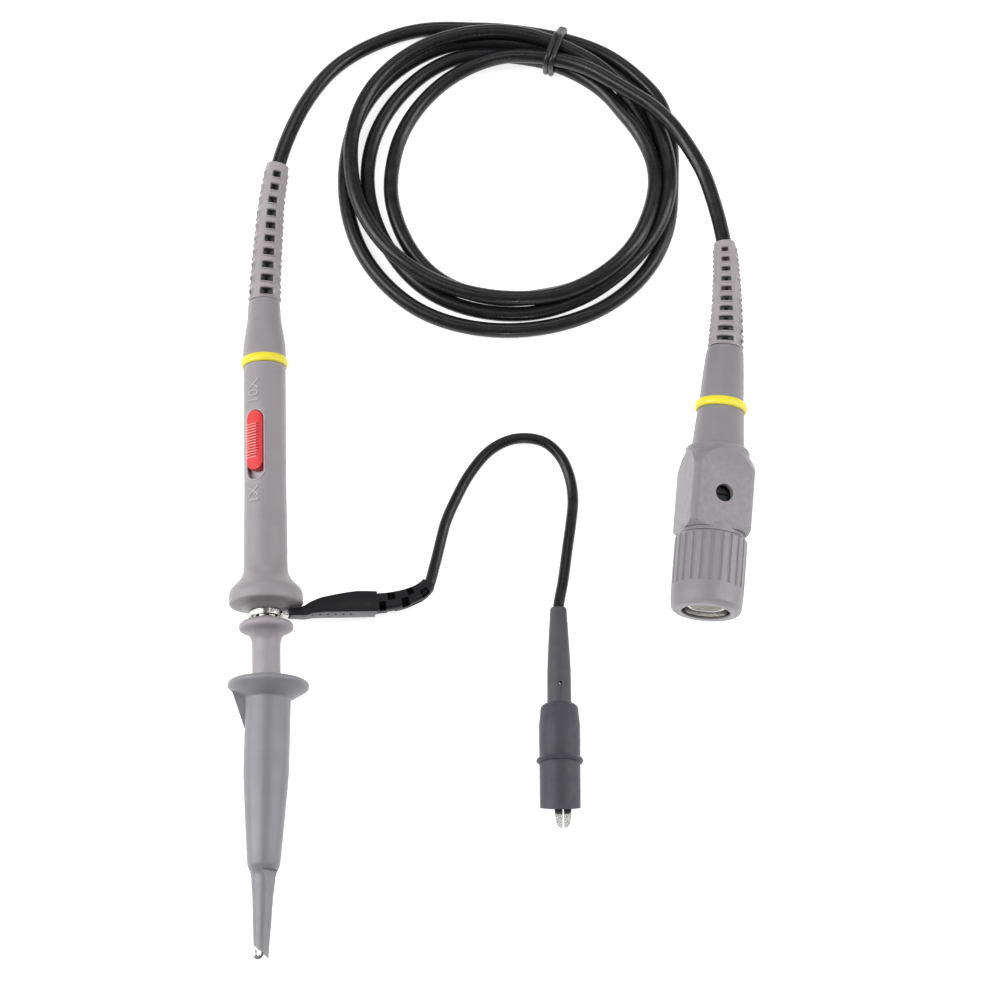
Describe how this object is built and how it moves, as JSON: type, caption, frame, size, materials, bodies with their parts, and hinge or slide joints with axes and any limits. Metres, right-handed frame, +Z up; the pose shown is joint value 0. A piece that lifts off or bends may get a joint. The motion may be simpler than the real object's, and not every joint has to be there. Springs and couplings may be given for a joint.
{
  "type": "oscilloscope probe",
  "caption": "Passive oscilloscope probe: slender head with range switch and retractable hook tip, swivelling ground lead with alligator clip, coiled cable and bayonet connector.",
  "frame": {"origin": "under the middle of the probe head, on the surface it lies on; the head runs from the hook to the end of the tail boot, and the cable, ground lead and connector are left out of the middle", "axes": "+Z up, +Y along the probe head from the hook towards the cable, +X to the side where the ground lead, coil and connector lie"},
  "size_m": [0.1095, 0.2075, 0.0167],
  "materials": {
    "grey_shell": "fine matt, warm mid grey",
    "sleeve_grey": "semi-matt, cooler mid grey",
    "collar_grey": "semi-matt, lighter grey",
    "boot_grey": "matt, light grey, soft",
    "yellow": "semi-gloss",
    "red_switch": "satin",
    "black_cable": "smooth with a soft sheen",
    "black_rubber": "matt",
    "black_plastic": "matt",
    "clip_cover": "matt dark blue-grey, soft",
    "nickel": "bright plated",
    "spring_steel": "bright drawn wire",
    "gold": "gold plated",
    "copper": "bare copper",
    "white_insulator": "smooth, waxy white",
    "circuit_board": "solder mask",
    "blue_lacquer": "lacquered",
    "orange_ceramic": "dipped ceramic",
    "gasket_red": "soft"
  },
  "bodies": {
    "probe": {"handle_shell": "grey_shell", "handle_rear_cone": "grey_shell", "tail_boot": "boot_grey", "head_marker_ring": "yellow", "switch_pcb": "circuit_board", "switch_pads": "gold", "divider_resistor": "blue_lacquer", "divider_capacitor": "orange_ceramic", "core_wire_front": "copper", "cable_crimp_front": "nickel", "ground_barrel": "nickel", "tip_insulator": "white_insulator", "probe_pin": "gold", "cable_front": "black_cable", "cable_coil": "black_cable", "cable_rear": "black_cable", "cable_tie": "black_rubber", "bnc_boot": "boot_grey", "bnc_cone": "grey_shell", "bnc_marker_ring": "yellow", "comp_housing": "grey_shell", "comp_pcb": "circuit_board", "comp_resistor": "blue_lacquer", "core_wire_rear": "copper", "cable_crimp_rear": "nickel", "trimmer_body": "black_plastic", "bnc_body": "nickel", "bnc_insulator": "white_insulator", "bnc_pin": "gold", "bnc_gasket": "gasket_red", "bnc_wave_washer": "spring_steel", "bnc_retaining_ring": "spring_steel"},
    "range_switch": {"switch_slider": "red_switch", "switch_wiper": "gold"},
    "hook_tip": {"hook_body": "collar_grey", "hook_socket": "gold", "hook_wire": "nickel", "hook_spring": "spring_steel"},
    "finger_sleeve": {"hook_sleeve": "sleeve_grey"},
    "ground_lead": {"ground_clip": "nickel", "ground_boot": "black_rubber", "ground_lead_wire": "black_cable", "clip_tail_sleeve": "clip_cover", "clip_cover": "clip_cover", "clip_fixed_jaw": "nickel", "clip_pin": "nickel", "clip_spring": "spring_steel"},
    "moving_jaw": {"clip_moving_jaw": "nickel"},
    "bayonet_coupling": {"bnc_coupling_nut": "nickel", "bnc_sleeve": "grey_shell"},
    "trimmer": {"trimmer_rotor": "black_plastic"}
  },
  "joints": [
    {"name": "range_switch_slide", "type": "slide", "parent": "probe", "child": "range_switch", "axis": [0, -1, 0], "range_m": [0, 0.0018]},
    {"name": "hook_tip_pull_off", "type": "slide", "parent": "probe", "child": "hook_tip", "axis": [0, -1, 0], "range_m": [0, 0.04]},
    {"name": "finger_sleeve_slide", "type": "slide", "parent": "hook_tip", "child": "finger_sleeve", "axis": [0, 1, 0], "range_m": [0, 0.0064], "stiffness_N_per_m": 220, "springref_m": -0.008, "deforming": ["hook_spring"]},
    {"name": "ground_lead_swivel", "type": "hinge", "parent": "probe", "child": "ground_lead", "pos_m": [0, -0.01468, 0.0084], "axis": [0, -1, 0], "continuous": true},
    {"name": "alligator_jaw", "type": "hinge", "parent": "ground_lead", "child": "moving_jaw", "pos_m": [0.05901, -0.05199, 0.0048], "axis": [0, 0, 1], "range_deg": [0, 15], "stiffness_Nm_per_rad": 0.05, "springref_deg": -28.65},
    {"name": "bayonet_turn", "type": "hinge", "parent": "probe", "child": "bayonet_coupling", "pos_m": [0.0921, -0.0003, 0.0079], "axis": [0.1219, 0.9925, 0], "continuous": true},
    {"name": "trimmer_turn", "type": "hinge", "parent": "probe", "child": "trimmer", "pos_m": [0.09405, 0.00712, 0.01176], "axis": [0.2569, -0.0315, 0.9659], "continuous": true}
  ]
}
